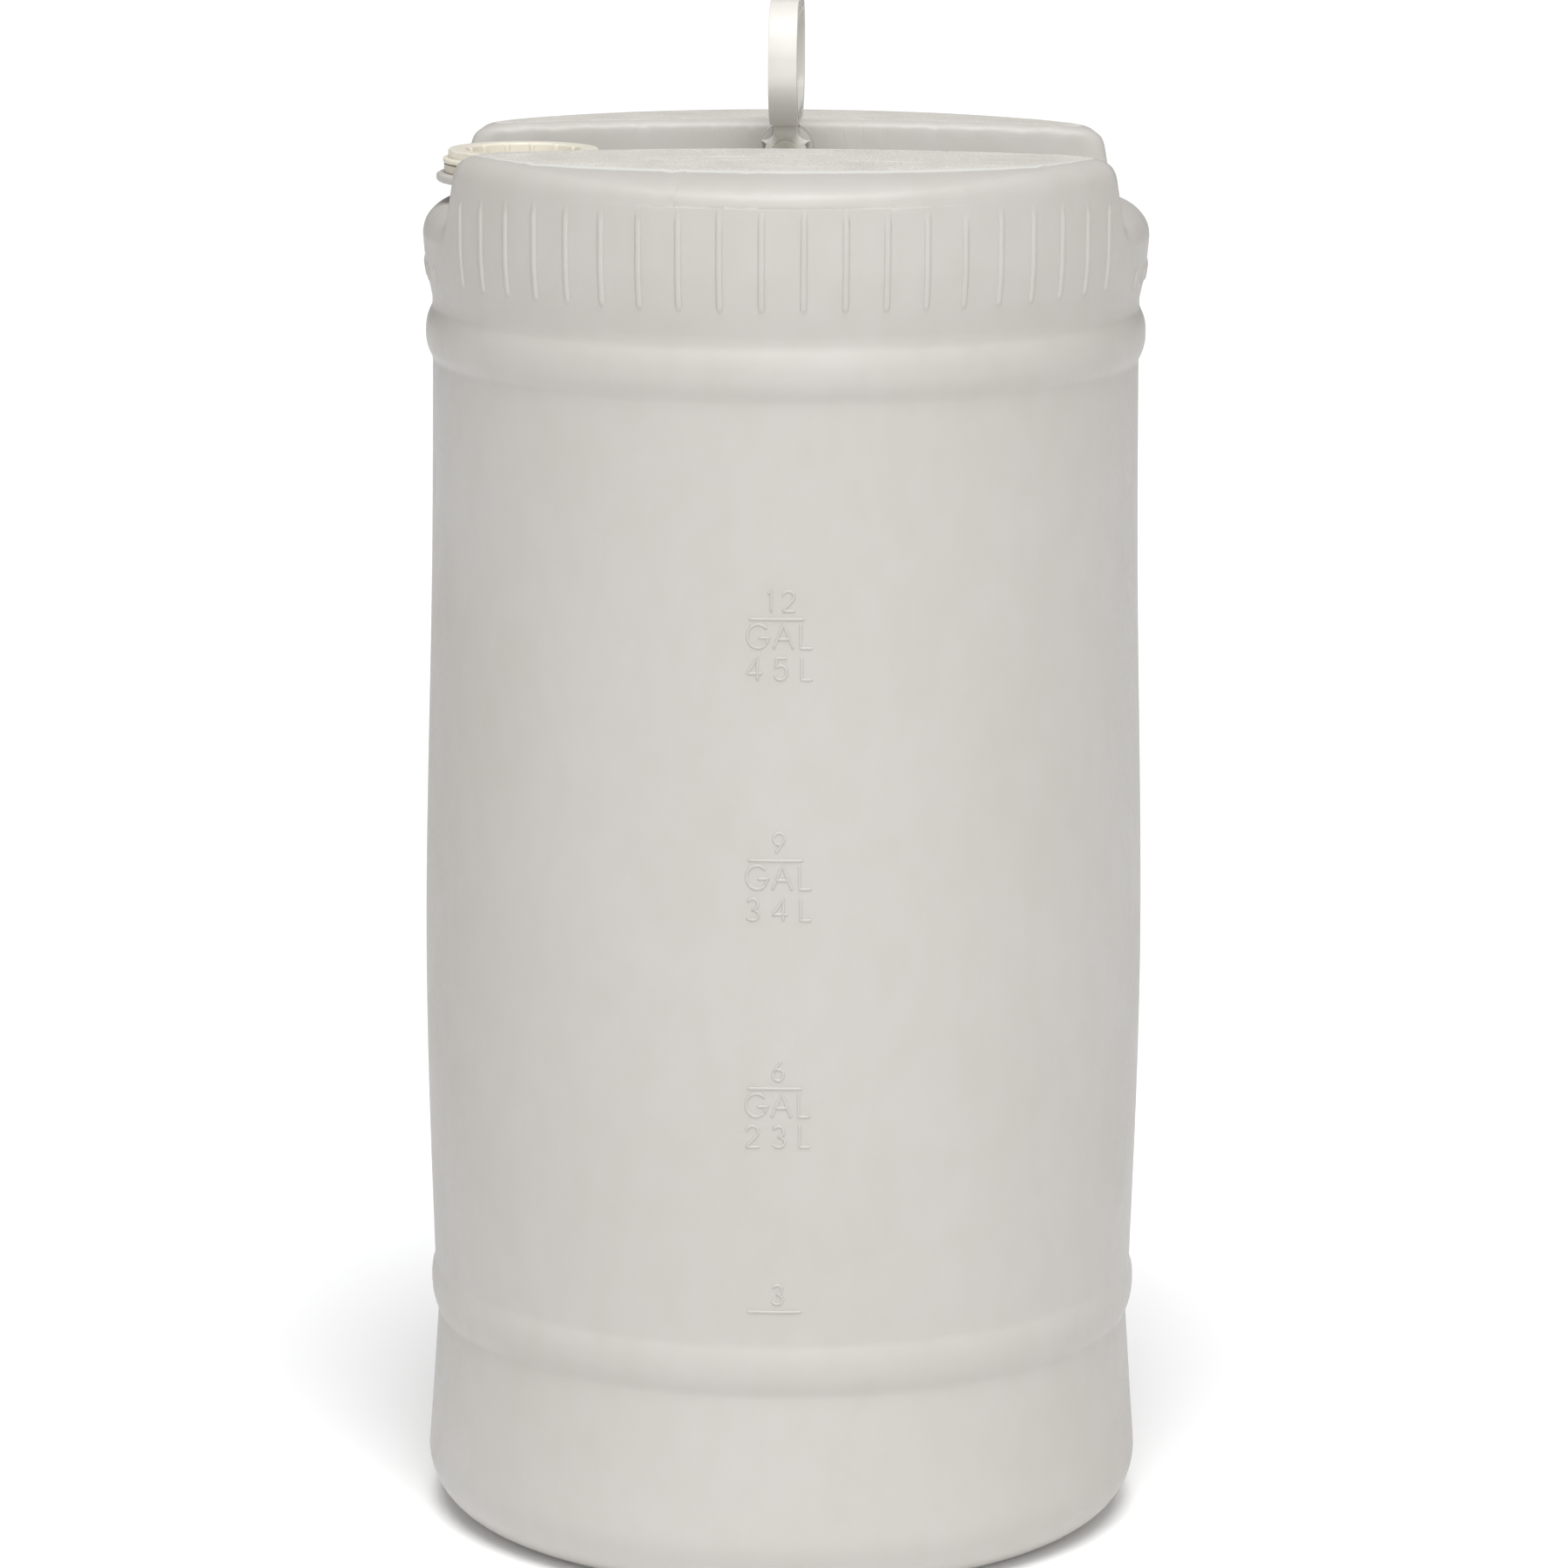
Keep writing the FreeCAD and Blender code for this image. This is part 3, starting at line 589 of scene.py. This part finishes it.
def drum_neck():
    foot = [(neck_r + neck_fillet * (1 - math.cos(a)), deck_z + neck_fillet * (1 - math.sin(a)))
            for a in np.linspace(math.radians(88), 0, 9)]
    outer = rounded([(neck_r, flange_z[0]), (flange_r - 1.0, flange_z[0] + 0.3),
                     (flange_r, flange_z[0] + 1.5), (flange_r - 0.1, flange_z[1] - 1.0),
                     (flange_r - 1.6, flange_z[1]), (neck_r + 0.4, flange_z[1]),
                     (neck_r, flange_z[1] + 0.6), (neck_r, neck_rim_z), (neck_bore, neck_rim_z),
                     (neck_bore, neck_low_z), (neck_r + neck_fillet, neck_low_z)],
                    0.7, 3)
    tube = lathe("neck_tube", foot + outer, 192, closed=True)
    ridge = helix_ridge("neck_ridge", neck_r, neck_r + thread_depth, flange_z[1] + 3.5)
    neck = joined("drum_neck", [tube, ridge])
    return moved(neck, slid(cap_x))


def lug():
    """The pinch-moulded ear that holds the handle's pin, with its bore."""
    r, half_t, bore = 13.7, 6.0, 4.04
    flare_out, flare_h, sunk = 4.0, 12, 1.0
    angles = np.radians(np.linspace(-90, 270, 96, endpoint=False))
    outline = []
    for a in angles:
        c, s = math.cos(a), math.sin(a)
        drop = pivot_z - deck_z + sunk
        reach = r
        if s < 0:
            height = min(r / max(abs(c), 1e-6), drop / -s) * -s
            flare = flare_out * max(0.0, (height - drop + flare_h) / flare_h) ** 2
            reach = min((r + flare) / max(abs(c), 1e-6), drop / -s)
        outline.append((reach * c, pivot_z + reach * s))
    rows = []
    for y, grow in ((-half_t, -0.9), (-half_t + 0.25, -0.3), (-half_t + 0.9, 0.0),
                    (half_t - 0.9, 0.0), (half_t - 0.25, -0.3), (half_t, -0.9)):
        rows.append([(x * (1 + grow / r), y, pivot_z + (z - pivot_z) * (1 + grow / r))
                     for x, z in outline])
    for y in (half_t, -half_t):
        rows.append([(bore * math.cos(a), y, pivot_z + bore * math.sin(a)) for a in angles])
    points = np.array(rows).reshape(-1, 3)
    obj = finish_mesh("handle_lug", points, grid_faces(len(rows), len(angles), wrap_rows=True))
    return moved(obj, Matrix.Rotation(skew, 4, "Z"))


def arc_points(cx, cy, rx, ry, start, end, steps=14):
    return [(cx + rx * math.cos(math.radians(a)), cy + ry * math.sin(math.radians(a)))
            for a in np.linspace(start, end, steps)]


# Strokes of the generic numerals and unit letters, in a cell one high, from the lower left.
STROKES = {
    "1": [[(0.30, 0.0), (0.30, 1.0)], [(0.30, 1.0), (0.16, 0.86)]],
    "2": [arc_points(0.32, 0.70, 0.28, 0.30, 165, -22) + [(0.04, 0.0), (0.62, 0.0)]],
    "3": [arc_points(0.30, 0.745, 0.24, 0.255, 150, -90),
          arc_points(0.30, 0.245, 0.29, 0.245, 90, -150)],
    "4": [[(0.48, 0.0), (0.48, 1.0), (0.02, 0.28), (0.66, 0.28)]],
    "5": [[(0.56, 1.0), (0.14, 1.0), (0.09, 0.56)] + arc_points(0.31, 0.33, 0.29, 0.33, 128, -150)],
    "6": [[(0.46, 1.0), (0.12, 0.52)] + arc_points(0.32, 0.30, 0.27, 0.30, 145, -215, 24)],
    "9": [[(0.18, 0.0), (0.52, 0.48)] + arc_points(0.32, 0.70, 0.27, 0.30, -35, 325, 24)],
    "G": [arc_points(0.46, 0.5, 0.44, 0.5, 42, 318, 24), [(0.52, 0.44), (0.94, 0.44)],
          arc_points(0.46, 0.5, 0.44, 0.5, -7, -38, 5)],
    "A": [[(0.02, 0.0), (0.42, 1.0), (0.82, 0.0)], [(0.18, 0.38), (0.66, 0.38)]],
    "L": [[(0.04, 1.0), (0.04, 0.0), (0.50, 0.0)]],
}
mark_azimuth = math.radians(-0.7)
# Each mark's figure, with its height on the barrel and the lines of letters below it.
mark_lines = {"12": (488.9, ("GAL", "45L")), "9": (372.0, ("GAL", "34L")),
              "6": (259.7, ("GAL", "23L")), "3": (147.2, ())}
line_half = 12.8
digit_h = 9.6
digit_up = 4.0                    # a figure's foot above its line
letters_left = -14.2
letters_drop = 14.0               # the first line of letters below the mark's line
letters_pitch = 15.2              # and from one line of letters to the next
gallon_type = (11.5, 12.6)        # height and advance
litre_type = (10.5, 12.9)


def stroke(path, radius_at, sink=0.15, half_width=0.75, proud=0.62, spacing=0.9):
    """A raised bead along a path of (across, height) on the barrel, both in millimetres."""
    path = np.array(path, float)
    step = np.hypot(*np.diff(path, axis=0).T)
    along = np.concatenate([[0], np.cumsum(step)])
    count = max(3, int(along[-1] / spacing) + 1)
    want = np.unique(np.concatenate([np.linspace(0, along[-1], count), along]))
    spine = np.stack([np.interp(want, along, path[:, k]) for k in (0, 1)], 1)
    ahead = np.gradient(spine, axis=0)
    ahead /= np.linalg.norm(ahead, axis=1)[:, None] + 1e-9
    side = np.stack([-ahead[:, 1], ahead[:, 0]], 1)
    spine = np.vstack([spine[0] - ahead[0] * half_width * 0.8, spine,
                       spine[-1] + ahead[-1] * half_width * 0.8])
    side = np.vstack([side[0], side, side[-1]])
    grow = np.ones(len(spine))
    grow[[0, -1]] = 0.25
    section = [(math.cos(a) * half_width, math.sin(a) * proud - sink)
               for a in np.linspace(-0.35, math.pi + 0.35, 9)]
    rows = []
    for (u, z), s, g in zip(spine, side, grow):
        for across, up in section:
            pu, pz = u + s[0] * across * g, z + s[1] * across * g
            rise = up * (g if up > 0 else 1.0)
            r = float(radius_at(pz)) + rise
            a = mark_azimuth + pu / float(radius_at(pz))
            rows.append((r * math.sin(a), -r * math.cos(a), pz))
    n = len(section)
    faces = grid_faces(len(spine), n)
    last = n * (len(spine) - 1)
    faces += [list(range(n))[::-1], list(range(last, last + n))]
    return rows, faces


def graduations():
    radius_at = wall_radius()
    points, faces = [], []

    def add(path):
        rows, quads = stroke(path, radius_at)
        faces.extend([[i + len(points) for i in q] for q in quads])
        points.extend(rows)

    def write(text, across, z, height, advance):
        for i, mark in enumerate(text):
            for path in STROKES[mark]:
                add([(across + i * advance + x * height, z + y * height) for x, y in path])

    for number, (z, below) in mark_lines.items():
        add([(-line_half, z), (line_half, z)])
        if number == "12":
            write("1", -5.5, z + digit_up, digit_h, 0)
            write("2", 2.5, z + digit_up, digit_h, 0)
        else:
            write(number, -1.5, z + digit_up, digit_h, 0)
        for i, word in enumerate(below):
            low = z - letters_drop - letters_pitch * i
            write(word, letters_left, low, *(gallon_type if word == "GAL" else litre_type))
    return finish_mesh("graduations", points, faces, 60.0)


# ---------------------------------------------------------------- cap, gasket and tamper band

def cap_shell():
    top = cap_top
    floor, floor_t = top - 12.5, 2.0
    under = top - 2.7
    ledge = (top - 6.5, top - 4.3)
    tail = flange_z[1] + 1.2
    grip_r, ledge_r, bore_r, tail_r, well_r, plug_r = 37.5, 40.1, 35.5, 36.9, 28.4, 30.2
    outline = [(well_r - 1.2, floor), (well_r, top - 1.0), (well_r + 0.7, top),
               (grip_r - 0.6, top), (grip_r, top - 0.7), (grip_r, ledge[1] + 0.1),
               (grip_r + 0.4, ledge[1]), (ledge_r, ledge[1]), (ledge_r, ledge[0]),
               (tail_r, ledge[0]), (tail_r, tail), (bore_r, tail), (bore_r, under),
               (plug_r, under), (plug_r - 1.2, floor - floor_t)]
    profile = [(0.0, floor), (12.0, floor)] + rounded(outline, 0.5, 3) + [(0.0, floor - floor_t)]
    # More rows where the ribs stand in the recess and where the grip is fluted.
    row_step, turn_steps = 0.9, 480
    dense = []
    for (r0, z0), (r1, z1) in zip(profile, profile[1:]):
        n = 1 + int(abs(z1 - z0) / row_step)
        dense += [(r0 + (r1 - r0) * k / n, z0 + (z1 - z0) * k / n) for k in range(n)]
    dense.append(profile[-1])
    flutes, flute_depth = 120, 0.38
    ribs, first_rib, rib_half_w, rib_side, rib_out = 14, 84, 1.35, 0.45, 1.15
    half_pitch = 180 / ribs

    def reshape(angle, r, z):
        flute = 0.5 + 0.5 * np.cos(flutes * angle)
        grip = np.clip((z - ledge[1] - 0.3) / 0.5, 0, 1) * np.clip((top - 0.5 - z) / 0.5, 0, 1)
        outer = (r > grip_r - 0.3) & (r < grip_r + 0.3)
        r = r - np.where(outer, flute_depth * flute * grip, 0)
        phase = (np.degrees(angle) - first_rib + half_pitch) % (360 / ribs) - half_pitch
        rib = np.clip(rib_half_w - np.abs(np.radians(phase) * well_r), 0, rib_side) / rib_side
        inner = (r > 20) & (r < well_r + 0.2) & (z > floor + 0.2) & (z < top - 0.4)
        below_rim = np.clip((top - 0.6 - z) / 0.6, 0, 1)
        return r - np.where(inner, rib_out * rib * below_rim, 0), z

    shell = lathe("cap_turned", dense, turn_steps, reshape)
    ridge = helix_ridge("cap_ridge", bore_r, neck_r + thread_sunk, flange_z[1] + 2.0)
    cap = joined("cap_shell", [shell, ridge])
    return moved(cap, slid(cap_x))


def cap_liner():
    low, high = box_mm("cap_gasket")
    r_out, width = (high[0] - low[0]) / 2, 4.1
    profile = rounded([(r_out - width, low[2]), (r_out, low[2]), (r_out, high[2]),
                       (r_out - width, high[2])], 0.35, 3)
    return moved(lathe("cap_liner", profile, 144, closed=True), slid(cap_x))


def tamper_ring():
    """The band left on the neck, with the stubs of its broken bridges."""
    r_out = (band_high[0] - band_low[0]) / 2
    r_in = r_out - 2.3
    low, high = band_low[2], band_high[2]
    pitch, stub_h = 18, 0.28
    profile = rounded([(r_in, low), (r_out - 0.3, low), (r_out, low + 0.5), (r_out, high - 0.4),
                       (r_out - 0.4, high), (r_in, high)], 0.4, 3)

    def reshape(angle, r, z):
        stub = np.clip(1 - np.abs((np.degrees(angle) + pitch / 2) % pitch - pitch / 2) / 1.4, 0, 1)
        return r, np.where(z > high - 0.2, z - stub_h + stub_h * stub, z)

    return moved(lathe("tamper_ring", profile, 360, reshape, closed=True), slid(cap_x))


# ---------------------------------------------------------------- handle

strap_w = 14.0
strap_t = 8.0
strap_edge = 1.8
strap_web = 3.6
ring_w = 100.0
ring_corner = 27.0
ring_h = 61.8
ring_bottom = ring_top - ring_h
cheek_y = (6.6, 11.6)
hub_r = 10.5
brace_bite = 0.6                  # share of the strap's edge at which a brace starts


def ring_stations(arc_steps=14, line_steps=5):
    """Points round the ring's outer edge in the YZ plane, with the way inwards at each."""
    half, mid = ring_w / 2 - ring_corner, (ring_bottom + ring_top) / 2
    tall = (ring_top - ring_bottom) / 2 - ring_corner
    out = []
    for sy, sz, start in ((1, 1, 0), (-1, 1, 90), (-1, -1, 180), (1, -1, 270)):
        cy, cz = sy * half, mid + sz * tall
        for a in np.radians(np.linspace(start, start + 90, arc_steps + 1)):
            out.append(((cy + ring_corner * math.cos(a), cz + ring_corner * math.sin(a)),
                        (-math.cos(a), -math.sin(a))))
        if abs(math.sin(math.radians(start + 90))) > 0.5:
            far = -half * sy
            for k in range(1, line_steps):
                y = cy + (far - cy) * k / line_steps
                out.append(((y, cz + sz * ring_corner), (0.0, -float(sz))))
    return out


def handle_ring():
    stations = ring_stations()
    w, e, t, web = strap_w / 2, strap_edge, strap_t, strap_web / 2
    section = rounded([(0, -w), (e, -w), (e + 0.25, -web), (t - e - 0.25, -web), (t - e, -w),
                       (t, -w), (t, w), (t - e, w), (t - e - 0.25, web), (e + 0.25, web),
                       (e, w), (0, w)], 0.45, 2)
    points = [(x, p[0] + n[0] * d, p[1] + n[1] * d) for p, n in stations for d, x in section]
    strap = finish_mesh("strap", points, grid_faces(len(stations), len(section), wrap_rows=True))
    pieces = [strap] + handle_braces(stations) + [cheek(side) for side in (-1, 1)]
    return moved(joined("handle_ring", pieces), Matrix.Rotation(skew, 4, "Z"))


def handle_braces(stations, count=36, half_t=0.65):
    """Zigzag braces in the two pockets of the strap."""
    line = np.array([p for p, _ in stations])
    inward = np.array([n for _, n in stations])
    step = np.hypot(*(np.roll(line, -1, 0) - line).T)
    along = np.concatenate([[0], np.cumsum(step)])
    line, inward = (np.vstack([v, v[:1]]) for v in (line, inward))

    def at(share, depth):
        s = (share % 1.0) * along[-1]
        p = np.array([np.interp(s, along, line[:, k]) for k in (0, 1)])
        n = np.array([np.interp(s, along, inward[:, k]) for k in (0, 1)])
        return p + n / np.linalg.norm(n) * depth

    out = []
    shallow, deep = strap_edge * brace_bite, strap_t - strap_edge * brace_bite
    for i in range(count):
        a = at(i / count, shallow if i % 2 else deep)
        b = at((i + 1) / count, deep if i % 2 else shallow)
        way = (b - a) / np.linalg.norm(b - a)
        side = np.array([-way[1], way[0]]) * half_t
        ends = [a - side, b - side, b + side, a + side]
        for x0, x1 in ((strap_web / 2 - 0.3, strap_w / 2 - 0.35),
                       (-strap_w / 2 + 0.35, -strap_web / 2 + 0.3)):
            points = [(x, y, z) for x in (x0, x1) for y, z in ends]
            faces = grid_faces(2, 4) + [[3, 2, 1, 0], [4, 5, 6, 7]]
            out.append(finish_mesh("brace", points, faces))
    return out


def cheek(side):
    """A hub round the pin that narrows to a neck below the ring, seen along the pin."""
    half_neck, fillet, bore = 6.0, 5.0, 4.08
    top = ring_bottom + strap_edge - pivot_z
    bend_x = half_neck + fillet
    bend_z = math.sqrt((hub_r + fillet) ** 2 - bend_x ** 2)
    edge = []
    for a in np.radians(np.linspace(-90, 270, 108, endpoint=False)):
        c, s = math.cos(a), math.sin(a)
        reach = hub_r
        # The way out meets the neck's side, its top, or the fillet between neck and hub.
        if s > 0:
            to_side = half_neck / abs(c) if abs(c) > 1e-6 else 1e6
            to_top = top / s
            b = abs(c) * bend_x + s * bend_z
            disc = b * b - (bend_x ** 2 + bend_z ** 2 - fillet ** 2)
            if min(to_side, to_top) * s >= bend_z or (to_top < to_side):
                reach = min(to_side, to_top)
            elif disc > 0 and b - math.sqrt(disc) >= hub_r * 0.98:
                reach = b - math.sqrt(disc)
        edge.append((reach * c, reach * s))
    low, high = cheek_y
    rows = []
    for y, cut in ((high, 0.7), (high - 0.2, 0.22), (high - 0.7, 0.0), (low, 0.0)):
        rows.append([(x * (1 - cut / max(math.hypot(x, z), 1)), y,
                      z * (1 - cut / max(math.hypot(x, z), 1))) for x, z in edge])
    circle = [(bore * x / math.hypot(x, z), bore * z / math.hypot(x, z)) for x, z in edge]
    rows.append([(x, low, z) for x, z in circle])
    rows.append([(x, high, z) for x, z in circle])
    points = [(x, side * y, pivot_z + z) for row in rows for x, y, z in row]
    return finish_mesh("cheek", points, grid_faces(len(rows), len(edge), wrap_rows=True))


def turned_about_pin(name, profile, cols=72):
    """A lathe piece whose axis is the pin's. The profile is (radius, place along Y)."""
    obj = lathe(name, profile, cols)
    moved(obj, Matrix.Rotation(math.radians(-90), 4, "X"))
    moved(obj, Matrix.Translation((0, 0, pivot_z * MM)))
    return moved(obj, Matrix.Rotation(skew, 4, "Z"))


def pivot_pin():
    head, tip = -14.1, 14.9
    head_r, head_t, pin_r, groove_r = 6.6, 2.2, 4.0, 3.4
    groove = (11.9 - 0.06, 13.5 + 0.06)
    profile = [(0.0, head), (3.0, head)]
    profile += rounded([(3.2, head), (head_r, head), (head_r, head + head_t),
                        (pin_r, head + head_t)], 0.7, 4, False)
    profile += [(pin_r, groove[0]), (groove_r, groove[0] + 0.02), (groove_r, groove[1]),
                (pin_r, groove[1] + 0.02), (pin_r, tip - 0.5), (pin_r - 0.5, tip), (0.0, tip)]
    return turned_about_pin("pivot_pin", profile)


# ---------------------------------------------------------------- camera, light, floor

lens_mm = 150.4
camera_distance = 3.2527
camera_height = 1.0224
camera_down = math.radians(11.28)
camera_roll = 0.0039
camera_orbit = math.radians(0.53)
# Each soft box: place, aim, size and power. Metres and watts.
softboxes = {"key": ((0.35, -2.8, 1.35), (0, 0, 0.45), (1.6, 1.1), 17.0),
             "glint": ((0.7, -2.2, 2.0), (0, 0, 0.6), (0.25, 0.25), 1.2)}
fill_place = (-0.15, -3.0, 0.715)
fill_aim = (0, 0, 0.738)
fill_cone = math.radians(2.6)
fill_power = 26.0
sun_power = 3.0
sun_angle = math.radians(36)
sun_lean = math.radians(24)
sun_turn = math.radians(3)
sky = (1.0, 0.99, 0.965, 1)
sky_power = 0.25
floor_reach = 12.0


def studio():
    camera = bpy.data.objects.new("camera", bpy.data.cameras.new("camera"))
    camera.data.lens = lens_mm
    camera.data.sensor_width = 36.0
    camera.data.clip_end = 50.0
    camera.matrix_world = (Matrix.Rotation(camera_orbit, 4, "Z")
                           @ Matrix.Translation((0, -camera_distance, camera_height))
                           @ Matrix.Rotation(math.pi / 2 - camera_down, 4, "X")
                           @ Matrix.Rotation(camera_roll, 4, "Z"))
    bpy.context.collection.objects.link(camera)
    bpy.context.scene.camera = camera

    def hang(name, light, matrix):
        obj = bpy.data.objects.new(name, light)
        obj.matrix_world = matrix
        bpy.context.collection.objects.link(obj)

    def aimed(place_at, aim):
        back = Vector(place_at) - Vector(aim)
        return Matrix.Translation(place_at) @ back.to_track_quat("Z", "Y").to_matrix().to_4x4()

    for name, (place_at, aim, size, power) in softboxes.items():
        light = bpy.data.lights.new(name, "AREA")
        light.shape = "RECTANGLE"
        light.size, light.size_y = size
        light.energy = power
        hang(name, light, aimed(place_at, aim))

    # A narrow soft spot from the front, so that the upright handle isn't dark below its ring.
    spot = bpy.data.lights.new("handle_fill", "SPOT")
    spot.energy = fill_power
    spot.spot_size = fill_cone
    spot.spot_blend = 1.0
    spot.shadow_soft_size = 0.08
    hang("handle_fill", spot, aimed(fill_place, fill_aim))

    sun = bpy.data.lights.new("overhead", "SUN")
    sun.energy = sun_power
    sun.angle = sun_angle
    sun.color = (0.98, 0.99, 1.0)
    hang("overhead", sun, Matrix.Rotation(sun_turn, 4, "Z") @ Matrix.Rotation(sun_lean, 4, "X"))

    world = bpy.data.worlds.new("studio")
    bpy.context.scene.world = world
    world.use_nodes = True
    background = world.node_tree.nodes["Background"]
    background.inputs["Color"].default_value = sky
    background.inputs["Strength"].default_value = sky_power
    bpy.context.scene.view_settings.view_transform = "Standard"

    mesh = bpy.data.meshes.new("floor")
    corners = [(-1, -1), (1, -1), (1, 1), (-1, 1)]
    mesh.from_pydata([(x * floor_reach, y * floor_reach, 0) for x, y in corners], [], [[0, 1, 2, 3]])
    floor = bpy.data.objects.new("floor", mesh)
    floor.data.materials.append(floor_material())
    bpy.context.collection.objects.link(floor)


# ---------------------------------------------------------------- build

def repaint(node, material):
    obj = frame["nodes"][node]
    obj.data.materials.clear()
    obj.data.materials.append(material)


def build():
    shell_look = drum_material()
    cap_look = plain_plastic("cap_plastic", rgb(226, 221, 208), rgb(217, 211, 197), 0.15, 0.42)
    band_look = plain_plastic("band_plastic", rgb(212, 205, 190), rgb(200, 192, 176), 0.15, 0.45)
    handle_look = plain_plastic("handle_plastic", rgb(222, 220, 214), rgb(216, 213, 205), 0.15, 0.36)
    pin_look = plain_plastic("pin_plastic", rgb(216, 213, 203), rgb(208, 204, 191), 0.15, 0.28)
    liner_look = plain_plastic("seal_foam", rgb(236, 236, 232), rgb(226, 226, 220), 0.1, 0.7)

    for make in (drum_shell, drum_neck, lug, graduations):
        place(make(), "drum", "natural_polyethylene", shell_look, "drum_body")
    place(cap_shell(), "cap", "cap_plastic", cap_look, "screw_cap")
    place(cap_liner(), "seal", "seal_foam", liner_look, "cap_gasket")
    place(tamper_ring(), "drum", "band_plastic", band_look, "tamper_band")
    place(handle_ring(), "handle", "handle_plastic", handle_look, "handle")
    place(pivot_pin(), "drum", "pin_plastic", pin_look, "handle_pin")
    repaint("pin_retainer", pin_look)


studio()
build()
